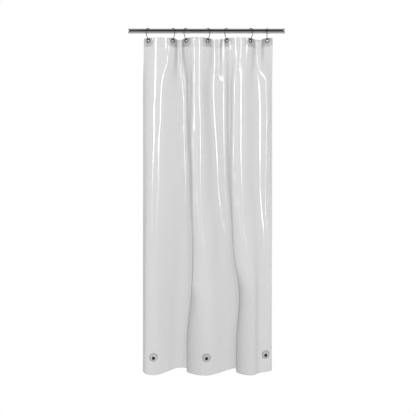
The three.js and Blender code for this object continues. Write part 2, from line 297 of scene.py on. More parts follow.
def at_distance(line, places):
    """Points of a line at shares of its length."""
    run = np.concatenate([[0], np.cumsum(np.linalg.norm(np.diff(line, axis=0), axis=1))])
    return np.stack([np.interp(places * run[-1], run, line[:, k]) for k in (0, 1)], axis=1)


def solve(measure, target, low, high):
    """The value between low and high at which a rising measure reaches its target."""
    for _ in range(40):
        half = (low + high) / 2
        if measure(half) < target:
            low = half
        else:
            high = half
    return (low + high) / 2


def bridged(t, start, leave, end, arrive):
    """A smooth curve from start to end that leaves and arrives at given rates, for t from 0 to 1."""
    return ((2 * t ** 3 - 3 * t ** 2 + 1) * start + (t ** 3 - 2 * t ** 2 + t) * leave
            + (3 * t ** 2 - 2 * t ** 3) * end + (t ** 3 - t ** 2) * arrive)


def joined(knots, steps=30):
    """A smooth line through knots, each a place along the rod, one behind it, and a slope there."""
    t = np.linspace(0, 1, steps, endpoint=False)
    stretches = []
    for (x0, y0, m0), (x1, y1, m1) in zip(knots[:-1], knots[1:]):
        wide = x1 - x0
        stretches.append(np.stack([x0 + wide * t, bridged(t, y0, wide * m0, y1, wide * m1)], axis=1))
    return np.vstack([*stretches, [knots[-1][:2]]])


# %% Plan of the heading, bay by bay
# The film turns through twelve upright lines where it slants 12 degrees to the rod, two on each crest
# and two in each trough. Between them it is nearly flat, and beyond them it runs back or forward.
SLANT_LINE = math.tan(math.radians(12))
HEADING_PAIRS = [(143, 191), (267, 289), (355, 388), (464, 499), (579, 617), (697, 721)]
# Two bays have more to them: a sharp crease where the film comes forward, and a shallow bay with
# straight sides. Each knot is a place along the rod and one behind it, in mm, and the slope there.
BEFORE_CREST = {4: [(555, -12.8, -0.33), (571, -18.0, -0.33)]}
AFTER_CREST = {
    3: [(506, 17, -2.5), (510, 13.6, -0.22), (519, 11.7, -0.25)],
    4: [(625, -18.0, 0.33), (640, -13.0, 0.33)],
}
SHALLOWEST, DEEPEST = 10 * MM, 80 * MM  # a bay's depth is looked for between these


def beside_eyelet(n, distance):
    """A knot on an eyelet's flat, at a distance from its centre."""
    turn = EYELET_TURN[n]
    return (EYELET_X[n] + distance * math.cos(turn), distance * math.sin(turn), math.tan(turn))


def in_metres(knots, factor=1.0):
    """Knots given in mm, as many times deeper as a factor says."""
    return [(x * MM, y * MM * factor, slope) for x, y, slope in knots]


def bay_line(n, depth):
    """The film from eyelet n's flat to the next one's, out to a crest or trough of a depth."""
    slant = SLANT_LINE * math.copysign(1, depth)
    left, right = (x * MM for x in HEADING_PAIRS[n])
    return joined([
        beside_eyelet(n, FLAT), *in_metres(BEFORE_CREST.get(n, [])),
        (left, depth, slant), (right, depth, -slant),
        *in_metres(AFTER_CREST.get(n, [])), beside_eyelet(n + 1, -FLAT)])


heading_plan = [beside_eyelet(0, -MARGIN)[:2], beside_eyelet(0, -FLAT)[:2]]
for n in range(COUNT - 1):
    side = math.copysign(1, EYELET_TURN[n])
    depth = solve(lambda d: length_of(bay_line(n, side * d)), BAY - 2 * FLAT, SHALLOWEST, DEEPEST)
    heading_plan.extend(bay_line(n, side * depth))
    print(f"bay {n + 1} stands {side * depth / MM:.0f} mm behind the rod")
heading_plan += [beside_eyelet(COUNT - 1, FLAT)[:2], beside_eyelet(COUNT - 1, MARGIN)[:2]]
heading_plan = np.array(heading_plan)
print(f"heading plan {length_of(heading_plan):.4f} m long")

# %% Plan below the heading: six crests and troughs between slanting walls
# Each crest or trough has two upright lines, given as places along the rod at depths below it, in mm,
# and a distance behind the rod. The walls between them take up what is left of the film's width.
FOLD_LINES = [
    (-32, [(60, 144), (320, 143), (440, 134), (560, 139), (750, 129), (950, 125)],
     [(60, 191), (210, 187), (380, 173), (470, 175), (580, 162), (860, 158), (1030, 150)]),
    (42, [(110, 289), (235, 293), (420, 303), (600, 306), (800, 314), (1000, 318)],
     [(110, 311), (235, 311), (420, 312), (600, 314), (800, 321), (1000, 326)]),
    (-34, [(60, 355), (300, 352), (530, 358), (710, 367), (950, 370)],
     [(60, 388), (300, 388), (530, 394), (830, 392), (1070, 400)]),
    (36, [(110, 468), (320, 456), (500, 467), (740, 482), (945, 488), (1100, 505)],
     [(110, 519), (590, 523), (800, 529), (1000, 530)]),
    (-32, [(60, 579), (530, 582), (670, 580), (770, 589), (970, 590)],
     [(60, 617), (530, 614), (720, 615), (840, 620), (1000, 624), (1120, 634)]),
    (30, [(110, 700), (400, 711), (890, 711)],
     [(110, 744), (235, 751), (480, 757), (700, 752), (1000, 750)]),
]

# Two of the walls have a sharp step in them, where the film starts to double back further down. Each
# step is at a place along the rod and has a half width, both by depth, and two distances behind the rod.
STEPS = {
    1: ([(300, 332), (600, 333), (700, 339), (860, 343), (1030, 342), (1190, 350)],
        [(400, 9), (620, 2)], (14, -17)),
    3: ([(110, 552), (600, 549), (780, 550), (900, 556), (1030, 562), (1190, 571)],
        [(500, 9), (800, 5), (1000, 2)], (12, -14)),
}
STEP_SLOPE = -3  # the film comes forward three times as fast as it goes along
LEFT_EDGE = (79, 14, -2.0)  # along the rod, behind it, and its slope there
RIGHT_EDGE = (782, 2, -0.8)
EASE = 40  # mm up and down over which a value is averaged


def eased(points, depth):
    """A value at a depth, through points, averaged so that it has no corners."""
    around = depth + np.linspace(-EASE, EASE, 9)
    return float(np.interp(around, *zip(*points)).mean())


def wall_plan(z):
    """The film's plan at a height, as deep as its width asks for."""
    depth = -z / MM
    knots = [LEFT_EDGE]
    for n, (behind, left, right) in enumerate(FOLD_LINES):
        slant = SLANT_LINE * math.copysign(1, behind)
        knots += [(eased(left, depth), behind, slant), (eased(right, depth), behind, -slant)]
        if n in STEPS:
            at, half, (back, front) = STEPS[n]
            x, wide = eased(at, depth), eased(half, depth)
            knots += [(x - wide, back, STEP_SLOPE), (x + wide, front, STEP_SLOPE)]
    knots.append(RIGHT_EDGE)

    def deepened(factor):
        return joined(in_metres(knots, factor))

    return deepened(solve(lambda factor: length_of(deepened(factor)), FLAT_WIDTH, 0.5, 1.6))


print(f"half way down its upper part the film's plan is {length_of(wall_plan(-0.5)):.4f} m long")

# %% Plan lower down: curves through the fold lines, always as long as the film is wide


def smooth(t):
    """Rises from 0 to 1 as t does, level at both ends and beyond them."""
    c = np.clip(t, 0, 1)
    return c * c * (3 - 2 * c)


plan_heights = [HEADING_FOOT] + [z * MM for z in PLAN_LINES]
plan_points = [at_distance(heading_plan, LINES_AT_HEADING / FLAT_WIDTH)]
plan_points += [np.array(points) * MM for points in PLAN_LINES.values()]
plan_slopes = [np.zeros_like(plan_points[0])]
for k in range(1, len(plan_heights) - 1):
    around = plan_heights[k - 1] - plan_heights[k + 1]
    plan_slopes.append((plan_points[k + 1] - plan_points[k - 1]) / around)
plan_slopes.append(np.zeros_like(plan_points[0]))


def fold_points(z):
    """Where the seventeen lines stand at a height."""
    z = max(z, plan_heights[-1])
    k = min(sum(z <= height for height in plan_heights[1:]), len(plan_heights) - 2)
    span = plan_heights[k] - plan_heights[k + 1]
    t = (plan_heights[k] - z) / span
    return bridged(t, plan_points[k], span * plan_slopes[k],
                   plan_points[k + 1], span * plan_slopes[k + 1])


def through(points, steps=16):
    """A smooth centripetal curve through points."""
    ends = np.vstack([2 * points[0] - points[1], points, 2 * points[-1] - points[-2]])
    a, b, c, d = ends[:-3], ends[1:-2], ends[2:-1], ends[3:]
    da, db, dc = (np.sqrt(np.linalg.norm(q - p, axis=1))[:, None] for p, q in ((a, b), (b, c), (c, d)))
    leave = ((b - a) / da - (c - a) / (da + db) + (c - b) / db) * db
    arrive = ((c - b) / db - (d - b) / (db + dc) + (d - c) / dc) * db
    t = np.linspace(0, 1, steps, endpoint=False)[None, :, None]
    b, c, leave, arrive = (v[:, None, :] for v in (b, c, leave, arrive))
    return np.vstack([bridged(t, b, leave, c, arrive).reshape(-1, 2), points[-1]])


def fold_plan(z):
    """The film's plan at a height through the seventeen lines, as deep as its width asks for."""
    points = fold_points(z)

    def deepened(factor):
        return through(points * [1, factor])

    return deepened(solve(lambda factor: length_of(deepened(factor)), FLAT_WIDTH, 0.3, 2))


# %% [markdown]
# The film is a grid: columns run down it at even distances across the flat width, and rows run across
# it, closer together in the heading where it puckers. Each row is laid on the plan for its height.
# A light smoothing across each row rounds the places where one stretch of curve meets the next.

# %% Lay the grid of film on the folds
COLUMNS = 251
HEADING_ROWS = 15
FALL_ROWS = 140

places = np.linspace(0, 1, COLUMNS)
heights = np.concatenate([
    np.linspace(TOP, HEADING_FOOT, HEADING_ROWS), np.linspace(HEADING_FOOT, HEM, FALL_ROWS)[1:-1],
    [HEM + 4 * MM, HEM + 1.5 * MM, HEM]])


def softened(row, spread):
    """A row of points smoothed over a distance, with its ends kept."""
    step = FLAT_WIDTH / (COLUMNS - 1)
    reach = int(3 * spread / step) + 1
    weights = np.exp(-0.5 * (np.arange(-reach, reach + 1) * step / spread) ** 2)
    weights /= weights.sum()
    padded = np.vstack([2 * row[0] - row[reach:0:-1], row, 2 * row[-1] - row[-2:-reach - 2:-1]])
    return np.stack([np.convolve(padded[:, k], weights, "valid") for k in (0, 1)], axis=1)


TURN_OVER = (-820 * MM, -1180 * MM)  # between these the walls lean until the film doubles back
SETTLE_ABOVE = 10 * MM  # the pleats start to ease this far above the heading's foot
PLEAT_SOFT, WALL_SOFT, FOLD_SOFT = 2.5 * MM, 3 * MM, 4.5 * MM
pleated = softened(at_distance(heading_plan, places), PLEAT_SOFT)


def row_at(z):
    """One row of the film, in plan."""
    settled = float(smooth((HEADING_FOOT + SETTLE_ABOVE - z) / SETTLE))
    if settled == 0:
        return pleated
    turned = float(smooth((TURN_OVER[0] - z) / (TURN_OVER[0] - TURN_OVER[1])))
    wall = softened(at_distance(wall_plan(z), places), WALL_SOFT) if turned < 1 else 0
    fold = softened(at_distance(fold_plan(z), places), FOLD_SOFT) if turned > 0 else 0
    lower = wall * (1 - turned) + fold * turned
    return pleated * (1 - settled) + lower * settled


film = np.zeros((len(heights), COLUMNS, 3))
for r, z in enumerate(heights):
    film[r, :, :2] = row_at(z)
    film[r, :, 2] = z
across_mm = places * FLAT_WIDTH / MM  # each column's place on the flat film, in mm
down_mm = (TOP - heights) / MM  # each row's place below the top edge, in mm
print("film grid", film.shape)

# %% [markdown]
# A magnet's pocket is two welded layers with a hard disc inside, so the film lies nearly flat there.
# The hem also swings up a little where it stands back, because the fold hangs from higher up.

# %% Flatten the film at the magnets and let the hem swing
MAGNET_UP = 96 * MM  # from the hem to the middle of a pocket
magnet_down = (DROP - MAGNET_UP) / MM
HELD_HALF = 26  # mm each side of a pocket's middle that lie on one straight line
HELD_SHARE = 0.85  # how nearly straight that is


def fade(distance, full, gone):
    """One within a distance, none beyond another, and smooth between."""
    return 1 - smooth((np.abs(distance) - full) / (gone - full))


def column_at(mm):
    return min(int(round(mm / (FLAT_WIDTH / MM) * (COLUMNS - 1))), COLUMNS - 1)


for place in MAGNET_AT:
    left, right = column_at(place / MM - HELD_HALF), column_at(place / MM + HELD_HALF)
    share = (across_mm - across_mm[left]) / (across_mm[right] - across_mm[left])
    held = fade(across_mm - place / MM, 20, 36)[None, :] * fade(down_mm - magnet_down, 26, 70)[:, None]
    span = film[:, right:right + 1] - film[:, left:left + 1]
    chord = film[:, left:left + 1] + span * share[None, :, None]
    film += (chord - film) * held[..., None] * HELD_SHARE

HEM_SWING = 0.27  # how much a fold that stands back lifts its hem, for each mm
HEM_LIFT = 2 * MM  # how much shorter the folds make the film hang all along
SWING_FROM = 1300  # mm down from which the lift builds up
lift = (film[-1, :, 1] - film[-1, :, 1].min()) * HEM_SWING + HEM_LIFT
film[:, :, 2] += smooth((down_mm - SWING_FROM) / (DROP / MM - SWING_FROM))[:, None] * lift[None, :]


def normals_of(grid):
    """Unit normals of a grid of points, towards the back of the film."""
    rows, columns = np.gradient(grid, axis=0), np.gradient(grid, axis=1)
    normal = np.cross(columns, rows)
    normal /= np.linalg.norm(normal, axis=2, keepdims=True)
    return normal * np.sign(normal[..., 1:2].mean())


print("normals face back:", normals_of(film)[..., 1].mean() > 0)

# %% [markdown]
# ## Creases and puckers
# Film that was packed flat keeps soft upright ridges for days, and they catch the light as thin
# streaks. Each one here is a low ridge with a place at its top and its foot. In the heading, the hooks
# pull on the eyelets and pucker the two layers between them. Close to an eyelet the film stays flat.

# %% Soft ridges down the film
# Each ridge: place across the flat film at its top and foot, how far down it starts and ends, its
# height and its half width, all in mm. A height below zero stands towards the room.
RIDGES = [
    (20, 26, 500, 1750, 0.8, 12),
    (52, 60, 900, 1700, -0.7, 16),
    (118, 126, 1000, 1800, 0.7, 18),
    (262, 250, 820, 1500, 0.6, 14),
    (210, 214, 1100, 1820, -0.6, 16),
    (470, 486, 1050, 1800, -0.9, 20),
    (560, 548, 900, 1600, 0.7, 15),
    (716, 730, 1000, 1790, -0.7, 16),
    (812, 820, 1150, 1820, 0.8, 18),
    (880, 884, 600, 1700, -0.6, 12),
]
RIDGE_RISES, RIDGE_DIES = 120, 320  # mm over which a ridge builds up and fades out


def ridge_field():
    """How far the ridges lift the film, for each point of the grid."""
    field = np.zeros((len(heights), COLUMNS))
    for top_at, foot_at, start, end, height, half in RIDGES:
        share = np.clip((down_mm - start) / (end - start), 0, 1)
        centre = top_at + (foot_at - top_at) * share
        strength = smooth((down_mm - start) / RIDGE_RISES)
        strength *= 1 - smooth((down_mm - end + RIDGE_DIES) / RIDGE_DIES)
        shape = np.exp(-((across_mm[None, :] - centre[:, None]) / half) ** 2)
        field += height * strength[:, None] * shape
    return field * MM


# %% Uneven waves and puckers
WAVES = 10  # sines that are added up for one uneven field


def wander_field(seed, across_waves, down_waves, size):
    """Slow uneven waves, from a few sines with fixed random phases. Waves are counted for each mm."""
    draw = np.random.default_rng(seed)
    field = np.zeros((len(heights), COLUMNS))
    for _ in range(WAVES):
        a, d = draw.uniform(*across_waves), draw.uniform(*down_waves)
        phase = draw.uniform(0, 2 * math.pi)
        field += np.sin(2 * math.pi * (a * across_mm[None, :] + d * down_mm[:, None]) + phase)
    return field / WAVES ** 0.5 * size


# How far each point is from the nearest eyelet's centre, in mm
eyelet_down = (down_mm - (TOP - EYELET_Z) / MM)[:, None]
eyelet_reach = np.min([np.hypot(across_mm - place / MM, eyelet_down) for place in EYELET_AT], axis=0)
still = 1 - fade(eyelet_reach, 13, 22)
pulled = fade(eyelet_reach, 18, 58) * fade(down_mm, 52, 110)[:, None]
pucker = (wander_field(5, (1 / 42, 1 / 20), (-1 / 60, 1 / 60), 0.38 * MM)
          + wander_field(8, (1 / 20, 1 / 12), (-1 / 40, 1 / 40), 0.12 * MM)) * pulled
slow = wander_field(3, (-1 / 150, 1 / 150), (-1 / 700, 1 / 700), 0.22 * MM)
lower_share = smooth((down_mm - 900) / 500)[:, None]
broad = wander_field(9, (-1 / 130, 1 / 130), (-1 / 420, 1 / 420), 0.7 * MM) * lower_share
shift = (ridge_field() + pucker + slow + broad) * still
film += normals_of(film) * shift[..., None]
print(f"ridges and puckers up to {abs(shift).max() / MM:.1f} mm")

# %% [markdown]
# Where the film doubles back, the front fold beside it is darkened with painted shade: the film stops
# more light there. The shade starts along the edge of the doubled part and thins out to the right, further
# down more slowly.

# %% Painted shade beside the two doubled folds
# For each: which of the seventeen lines is its edge, how far down the painted shade starts and is
# full, and how wide it is there and at the hem, all in mm.
PAINTED_SHADE_FOLDS = [(6, 1320, 1430, 12, 62), (11, 1230, 1380, 26, 50)]
PAINTED_SHADE_FULL = 0.23  # what it adds to the share of light that a face stops
WALL_HALF = 20  # mm of film from the middle of the doubled wall to its front crest
WALL_BACK = 6  # mm over which the painted shade ends behind the wall
WIDEST_UP = 120  # mm above the hem where the painted shade is as wide as it gets


def painted_fold_shade_field():
    """How much painted shade each point of the grid gets."""
    field = np.zeros((len(heights), COLUMNS))
    for line, start, full, narrow, wide in PAINTED_SHADE_FOLDS:
        for r, z in enumerate(heights):
            edge = fold_points(z)[line]
            nearest = int(np.argmin(np.linalg.norm(film[r, :, :2] - edge, axis=1)))
            beyond = across_mm - across_mm[nearest]
            spread = np.interp(down_mm[r], (start, down_mm[-1] - WIDEST_UP), (narrow, wide))
            right = np.exp(-np.maximum(beyond - WALL_HALF, 0) / spread)
            left = np.exp(-(beyond / WALL_BACK) ** 2)
            strength = smooth((down_mm[r] - start) / (full - start))
            field[r] += np.where(beyond > 0, right, left) * strength
    return field * PAINTED_SHADE_FULL


# Painted shade: the film is made to stop more light beside the two doubled folds, so it looks darker there.
painted_fold_shade = painted_fold_shade_field()
print(f"haze up to {painted_fold_shade.max():.2f}")

# %% [markdown]
# ## From grid to film
# A mesh is made from the grid, a hole is left at each eyelet, and Solidify gives the film a thickness.
# It is half a millimetre here, which is more than the real 0.2 mm, so that both faces stay apart.

# %% Make the panel and the heading band
FILM_THICK = 0.5 * MM
HOLE = 8.6  # mm, hidden under the eyelet's flange
BAND_BEHIND = 1.15 * MM  # how far behind the panel's middle the band's middle lies


def use_only(piece):
    """Selects one object and makes it the active one."""
    bpy.ops.object.select_all(action="DESELECT")
    piece.select_set(True)
    bpy.context.view_layer.objects.active = piece


def smooth_faces(piece, angle):
    use_only(piece)
    bpy.ops.object.shade_smooth_by_angle(angle=math.radians(angle))


def thick_film(name, points, faces, values, material, thickness):
    """A film from points and faces. Values are what its material reads at each point, by name."""
    mesh = bpy.data.meshes.new(name)
    mesh.from_pydata(points.tolist(), [], faces)
    for key, each in values.items():
        layer = mesh.attributes.new(key, "FLOAT", "POINT")
        layer.data.foreach_set("value", np.ascontiguousarray(each, dtype=np.float32))
    piece = bpy.data.objects.new(name, mesh)
    scene.collection.objects.link(piece)
    mesh.materials.append(material)
    use_only(piece)
    modifier = piece.modifiers.new("thickness", "SOLIDIFY")
    modifier.thickness, modifier.offset = thickness, 0
    bpy.ops.object.modifier_apply(modifier=modifier.name)
    smooth_faces(piece, 50)
    return piece


def film_object(name, grid, cloud, painted_shade, material):
    """A film of the given grid, cloudiness and painted shade, with round openings at the eyelets."""
    rows = grid.shape[0]
    reach = eyelet_reach[:rows]
    corner = np.arange(rows * COLUMNS).reshape(rows, COLUMNS)
    quads = np.stack([corner[:-1, :-1], corner[1:, :-1], corner[1:, 1:], corner[:-1, 1:]], axis=2)
    middle_reach = (reach[:-1, :-1] + reach[1:, :-1] + reach[1:, 1:] + reach[:-1, 1:]) / 4
    kept = quads[middle_reach > HOLE]
    used, index = np.unique(kept, return_inverse=True)
    values = {"cloud": cloud.ravel()[used], "painted_fold_shade": painted_shade.ravel()[used]}
    faces = index.reshape(-1, 4).tolist()
    return thick_film(name, grid.reshape(-1, 3)[used], faces, values, material, FILM_THICK)


# %% Where the film is cloudy: along its cut edges and round the eyelets
RIM, BAND_RIM = 3.5, 3.0  # mm over which a cut edge shows
edge_reach = np.minimum(np.minimum(across_mm[None, :], across_mm[::-1][None, :]),
                        (down_mm[-1] - down_mm)[:, None])
rim = np.clip(1 - edge_reach / RIM, 0, 1)
strained = fade(eyelet_reach, 16, 44)
panel = film_object("film_panel", film, rim + 0.3 * strained, painted_fold_shade, clear_film)
band_grid = film[:HEADING_ROWS] + normals_of(film)[:HEADING_ROWS] * BAND_BEHIND
band_rim = np.clip(1 - (down_mm[HEADING_ROWS - 1] - down_mm[:HEADING_ROWS]) / BAND_RIM, 0, 1)[:, None]
band_cloud = strained[:HEADING_ROWS] + 0.35 * np.maximum(band_rim, rim[:HEADING_ROWS])
band = film_object("film_heading_band", band_grid, band_cloud, painted_fold_shade[:HEADING_ROWS], heading_film)
for piece, node, slot in ((panel, "liner_panel", "clear_film"), (band, "heading_band", "heading_film")):
    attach(piece, "root")
    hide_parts(node)
    print(piece.name, len(piece.data.polygons), "faces")

# %% [markdown]
# ## Eyelets
# An eyelet is a plated ring with a rolled lip on each side of the film. A maker would turn or press it,
# so its outline is walked round once: a circle is extruded from one point of the outline to the next,
# each time resized and moved along the ring's axis, and the last circle is merged with the first.

# %% Turn a ring by extruding a circle round its outline
MERGE = 0.02 * MM  # circles or points closer than this become one


def circle(name, sides, radius, place, tilt):
    """A circle at a place, tilted about X, with all of it selected in edit mode."""
    bpy.ops.object.select_all(action="DESELECT")
    bpy.ops.mesh.primitive_circle_add(
        vertices=sides, radius=radius, location=place, rotation=(tilt, 0, 0))
    piece = bpy.context.object
    piece.name = piece.data.name = name
    bpy.ops.object.transform_apply(location=True, rotation=True, scale=True)
    bpy.ops.object.mode_set(mode="EDIT")
    bpy.ops.mesh.select_all(action="SELECT")
    return piece


def close_up(threshold):
    """Joins points that meet, turns the faces outwards, and leaves edit mode."""
    bpy.ops.mesh.select_all(action="SELECT")
    bpy.ops.mesh.remove_doubles(threshold=threshold)
    bpy.ops.mesh.normals_make_consistent(inside=False)
    bpy.ops.object.mode_set(mode="OBJECT")


def turn_ring(name, outline, sides):
    """A turned piece about Y. Outline is radius and place along Y, in mm, one circle for each."""
    outline = [(r * MM, y * MM) for r, y in outline]
    radius, y = outline[0]
    piece = circle(name, sides, radius, (0, y, 0), math.pi / 2)
    for new_radius, new_y in outline[1:]:
        bpy.ops.mesh.extrude_edges_move(TRANSFORM_OT_translate={"value": (0, new_y - y, 0)})
        factor = new_radius / radius
        bpy.ops.transform.resize(value=(factor, 1, factor), center_override=(0, new_y, 0))
        radius, y = new_radius, new_y
    close_up(MERGE)
    return piece


def both_ends(half, total):
    """An outline from a half and its mirror image. Total is the sum of two mirrored places."""
    return half + [(radius, total - y) for radius, y in reversed(half)]


def put(piece, place, turn):
    """Turns a piece about its upright axis, moves it, and keeps its place in its mesh."""
    use_only(piece)
    piece.rotation_euler = (0, 0, turn)
    piece.location = place
    bpy.ops.object.transform_apply(location=True, rotation=True, scale=True)


def seven_of(piece, name, height, turns):
    """Copies of a piece, one for each eyelet, in place of the piece itself."""
    copies = []
    for n in range(COUNT):
        twin = piece.copy()
        twin.data = piece.data.copy()
        twin.name = twin.data.name = f"{name}_{n + 1}"
        scene.collection.objects.link(twin)
        put(twin, (EYELET_X[n], 0, height), turns[n])
        copies.append(twin)
    bpy.data.objects.remove(piece)
    return copies


# %% Turn one eyelet and copy it to its seven places, all in mm
EYELET_HOLE, EYELET_BARREL, EYELET_OUT = 6.0, 6.9, 11.5  # radii
EYELET_FRONT, EYELET_BACK = -0.9, 2.2  # where the lips lie on the film
eyelet_half = [
    (EYELET_BARREL, EYELET_FRONT), (EYELET_OUT, EYELET_FRONT), (EYELET_OUT, EYELET_FRONT - 0.35),
    (EYELET_OUT - 0.35, EYELET_FRONT - 0.72), (EYELET_OUT - 1.1, EYELET_FRONT - 0.95),
    (EYELET_HOLE + 2.2, EYELET_FRONT - 1.0), (EYELET_HOLE + 1.1, EYELET_FRONT - 0.8),
    (EYELET_HOLE + 0.35, EYELET_FRONT - 0.3), (EYELET_HOLE, EYELET_FRONT + 0.5),
]
eyelet_outline = both_ends(eyelet_half, EYELET_FRONT + EYELET_BACK) + eyelet_half[:1]
first_eyelet = turn_ring("eyelet_ring", eyelet_outline, 48)
first_eyelet.data.materials.append(eyelet_nickel_painted_dark)
smooth_faces(first_eyelet, 40)
eyelets = seven_of(first_eyelet, "eyelet_ring", EYELET_Z, EYELET_TURN)
for n, ring in enumerate(eyelets):
    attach(ring, "root")
    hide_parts(f"eyelet_{n + 1}")
print("eyelet faces", len(eyelets[0].data.polygons))

# %% [markdown]
# ## Hooks
# Each hook is one length of wire bent on pegs: from behind the rod over its top, round the front and
# straight down to a small bend that goes through the eyelet. A circle of wire is spun round each peg,
# extruded straight between them, and its two ends are rounded by extruding smaller circles.

# %% Bend one hook and copy it
WIRE = 1.8 * MM  # the wire's radius
LOOP = 22 * MM  # the two bends' radii, along the wire's middle
BEND = 7.4 * MM
BACK_END = math.radians(95)  # how far round from the top the wire reaches behind the rod
hook_low, hook_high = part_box("hook_7")
LOOP_CENTRE = hook_high[2] - WIRE - LOOP
BEND_CENTRE = hook_low[2] + WIRE + BEND
SLANT = math.asin((LOOP - BEND) / (LOOP_CENTRE - BEND_CENTRE))
TIP = 4 * MM  # the straight end behind the film
WIRE_SIDES, LOOP_STEPS, BEND_STEPS = 14, 44, 24


def on_circle(centre, radius, angle):
    """A point of the hook's plane, by its angle from straight up towards the room."""
    return Vector((0, -radius * math.sin(angle), centre + radius * math.cos(angle)))


def extrude_end(move, factor=1.0, centre=None):
    """Extrudes the selected ring by a move, and makes it smaller about a centre."""
    bpy.ops.mesh.extrude_edges_move(TRANSFORM_OT_translate={"value": move})
    if factor != 1.0:
        bpy.ops.transform.resize(value=(factor, factor, factor), center_override=centre)


def round_end(start, direction):
    """Rounds the selected end of the wire, which leaves start in a direction."""
    reach, size = 0.0, 1.0
    for angle in (30, 55, 78):
        new_reach = WIRE * math.sin(math.radians(angle))
        new_size = math.cos(math.radians(angle))
        extrude_end(direction * (new_reach - reach), new_size / size, start + direction * new_reach)
        reach, size = new_reach, new_size
    bpy.ops.mesh.edge_face_add()


def spin_about(centre, angle, steps):
    """Turns the selected ring from the back, over the top, to the front."""
    bpy.ops.mesh.spin(steps=steps, angle=-angle, center=(0, 0, centre), axis=(1, 0, 0))


wire_start = on_circle(LOOP_CENTRE, LOOP, -BACK_END)
hook = circle("wire_hook", WIRE_SIDES, WIRE, wire_start, math.pi / 2 - BACK_END)
spin_about(LOOP_CENTRE, BACK_END + math.pi / 2 + SLANT, LOOP_STEPS)
shank_top = on_circle(LOOP_CENTRE, LOOP, math.pi / 2 + SLANT)
shank_foot = on_circle(BEND_CENTRE, BEND, math.pi / 2 + SLANT)
extrude_end(shank_foot - shank_top)
spin_about(BEND_CENTRE, math.pi - SLANT, BEND_STEPS)
extrude_end(Vector((0, 0, TIP)))
round_end(Vector((0, BEND, BEND_CENTRE + TIP)), Vector((0, 0, 1)))
bpy.ops.object.mode_set(mode="OBJECT")
print("hook after bending", [round(v / MM, 1) for v in hook.dimensions])

# %% Round the back end, then copy the hook to each eyelet
use_only(hook)
bpy.ops.object.mode_set(mode="EDIT")
bpy.ops.mesh.select_mode(type="VERT")
bpy.ops.mesh.select_all(action="DESELECT")
bpy.ops.object.mode_set(mode="OBJECT")
for vertex in hook.data.vertices:
    vertex.select = (vertex.co - wire_start).length < WIRE * 1.05
bpy.ops.object.mode_set(mode="EDIT")
round_end(wire_start, Vector((0, -math.sin(BACK_END - math.pi / 2), -math.cos(BACK_END - math.pi / 2))))
close_up(1e-6)
hook.data.materials.append(wire_chrome_painted_dark)
smooth_faces(hook, 60)
hooks = seven_of(hook, "wire_hook", 0, HOOK_TURN)
for n, bent in enumerate(hooks):
    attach(bent, "root")
    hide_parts(f"hook_{n + 1}")
print("hook faces", len(hooks[0].data.polygons))

# %% [markdown]
# ## Rod and end caps
# The rod is a drawn steel tube with chrome on it, and its cut ends are closed by plain moulded plugs.
# Both are turned shapes, so the same way of walking round an outline makes them, finer than the
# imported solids. They are turned about Y first and then laid along X.

# %% Turn the rod and its caps
tube_start, tube_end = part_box("rod")[0][0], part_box("rod")[1][0]
R = ROD_RADIUS / MM  # these are all in mm
WALL = 1.2
TUBE = (tube_end - tube_start) / MM
ROUNDING = 0.3  # the cut ends are broken by this much
ROUND_MIDDLE = 0.08
STRAIGHT = 1.5  # from here on the tube's side is dead straight
tube_half = [
    (R - WALL, 0), (R - ROUNDING, 0), (R - ROUND_MIDDLE, ROUND_MIDDLE), (R, ROUNDING), (R, STRAIGHT)]
tube_outline = both_ends(tube_half, TUBE) + tube_half[:1]
rod = turn_ring("chrome_rod", tube_outline, 96)
put(rod, (tube_start, 0, 0), -math.pi / 2)
rod.data.materials.append(rod_chrome)
smooth_faces(rod, 40)
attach(rod, "root")
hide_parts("rod")

POLE = 0.01  # a circle this small is merged into one point
FACE, CAP = 3.0, 15.0  # the cap's face is this thick, and the whole cap this long
SPIGOT = R - 1.6  # the radius of the part that goes into the tube
cap_outline = [
    (POLE, 0), (R - 3.4, 0), (R - 3.0, 0.25), (R - 2.6, 0), (R - 0.9, 0), (R - 0.26, 0.26), (R, 0.9),
    (R, FACE - 0.3), (R - 0.3, FACE), (SPIGOT, FACE), (SPIGOT, CAP - 0.6), (SPIGOT - 0.6, CAP), (POLE, CAP),
]
for name, node, start, turn in (
        ("end_cap_left", "rod_cap_left", 0.0, -math.pi / 2),
        ("end_cap_right", "rod_cap_right", ROD_LENGTH, math.pi / 2)):
    cap = turn_ring(name, cap_outline, 64)
    put(cap, (start, 0, 0), turn)
    cap.data.materials.append(cap_plastic)
    smooth_faces(cap, 40)
    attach(cap, "root")
    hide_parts(node)
    print(cap.name, [round(v / MM, 1) for v in cap.dimensions])

# %% [markdown]
# ## Magnets and their pockets
# Each magnet is a small dark disc with a broken edge. Its pocket is a round of film laid over it and
# welded down all round, so it follows the panel: it is made in rings round the pocket's centre, each
# point set in front of the film by a little, and by more where the magnet lies under it. The weld is
# a pressed groove, and the loose film inside it puckers.

# %% Points in front of the film
film_normals = normals_of(film)
LAST = 1.001  # keeps a place just inside the grid's last row or column


def on_film(across, down, ahead):
    """Points ahead of the film's middle, at places across and down the flat film, in mm."""
    column = np.clip(across / (FLAT_WIDTH / MM) * (COLUMNS - 1), 0, COLUMNS - LAST)
    row = np.interp(down, down_mm, np.arange(len(down_mm)))
    row = np.clip(row, 0, len(down_mm) - LAST)
    c, r = column.astype(int), row.astype(int)
    fc, fr = (column - c)[..., None], (row - r)[..., None]

    def blend(grid):
        above = grid[r, c] * (1 - fc) + grid[r, c + 1] * fc
        below = grid[r + 1, c] * (1 - fc) + grid[r + 1, c + 1] * fc
        return above * (1 - fr) + below * fr

    return blend(film) - blend(film_normals) * np.asarray(ahead)[..., None] * MM


